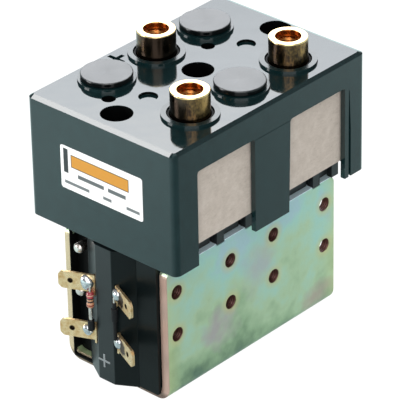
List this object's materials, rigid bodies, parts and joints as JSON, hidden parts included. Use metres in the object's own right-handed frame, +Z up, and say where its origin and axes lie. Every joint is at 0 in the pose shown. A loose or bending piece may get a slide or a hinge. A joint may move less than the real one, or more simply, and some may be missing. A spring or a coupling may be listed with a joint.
{
  "type": "solenoid switch",
  "caption": "Paired solenoid switch: two coils in a folded steel yoke under a black moulded cover with brass posts and spade blades.",
  "frame": {"origin": "middle of the yoke's underside, where the switch rests", "axes": "+X along the two coils, with the blades at the -X end; +Z up, from the yoke to the brass posts; +Y across"},
  "size_m": [0.0958, 0.0628, 0.1054],
  "materials": {
    "black_phenolic": "moulded gloss",
    "yellow_passivated_steel": "zinc plated, yellow passivated",
    "machined_brass": "turned",
    "fibre_board": "pressed fibre",
    "natural_nylon": "moulded",
    "enamelled_copper": "enamelled",
    "soft_iron": "ground",
    "bare_copper": "pressed",
    "spring_steel": "plated",
    "tinned_wire": "tinned",
    "black_sleeve": "extruded"
  },
  "bodies": {
    "housing": {"blade_lower_front": "machined_brass", "blade_lower_rear": "machined_brass", "blade_upper_front": "machined_brass", "blade_upper_rear": "machined_brass", "blanking_plug_left": "black_phenolic", "blanking_plug_middle": "black_phenolic", "blanking_plug_right": "black_phenolic", "bobbin_left": "natural_nylon", "bobbin_right": "natural_nylon", "coil_lead_lower": "black_sleeve", "coil_lead_upper": "black_sleeve", "coil_winding_left": "enamelled_copper", "coil_winding_right": "enamelled_copper", "common_busbar": "bare_copper", "contact_base": "black_phenolic", "core_screw_left": "spring_steel", "core_screw_right": "spring_steel", "cover": "black_phenolic", "cover_screw_left": "spring_steel", "cover_screw_middle": "spring_steel", "cover_screw_right": "spring_steel", "end_moulding": "black_phenolic", "fixed_contact_left": "bare_copper", "fixed_contact_right": "bare_copper", "fixed_core_left": "soft_iron", "fixed_core_right": "soft_iron", "frame": "yellow_passivated_steel", "lead_pin_lower": "tinned_wire", "lead_pin_upper": "tinned_wire", "return_spring_left": "spring_steel", "return_spring_right": "spring_steel", "side_panel_front_left": "fibre_board", "side_panel_front_right": "fibre_board", "side_panel_rear_left": "fibre_board", "side_panel_rear_right": "fibre_board", "suppressor_front": "tinned_wire", "suppressor_rear": "tinned_wire", "terminal_bush_common": "black_phenolic", "terminal_bush_left": "black_phenolic", "terminal_bush_right": "black_phenolic", "terminal_post_common": "machined_brass", "terminal_post_left": "machined_brass", "terminal_post_right": "machined_brass", "top_plate": "soft_iron"},
    "plunger_left": {"plunger_left": "soft_iron", "spindle_left": "machined_brass", "contact_bridge_left": "bare_copper", "contact_spring_left": "spring_steel", "spring_retainer_left": "spring_steel"},
    "plunger_right": {"plunger_right": "soft_iron", "spindle_right": "machined_brass", "contact_bridge_right": "bare_copper", "contact_spring_right": "spring_steel", "spring_retainer_right": "spring_steel"}
  },
  "joints": [
    {"name": "plunger_slide_left", "type": "slide", "parent": "housing", "child": "plunger_left", "axis": [0, 0, -1], "range_m": [0, 0.0025], "stiffness_N_per_m": 2000, "springref_m": -0.004, "deforming": ["return_spring_left"]},
    {"name": "plunger_slide_right", "type": "slide", "parent": "housing", "child": "plunger_right", "axis": [0, 0, -1], "range_m": [0, 0.0025], "stiffness_N_per_m": 2000, "springref_m": -0.004, "deforming": ["return_spring_right"]}
  ]
}
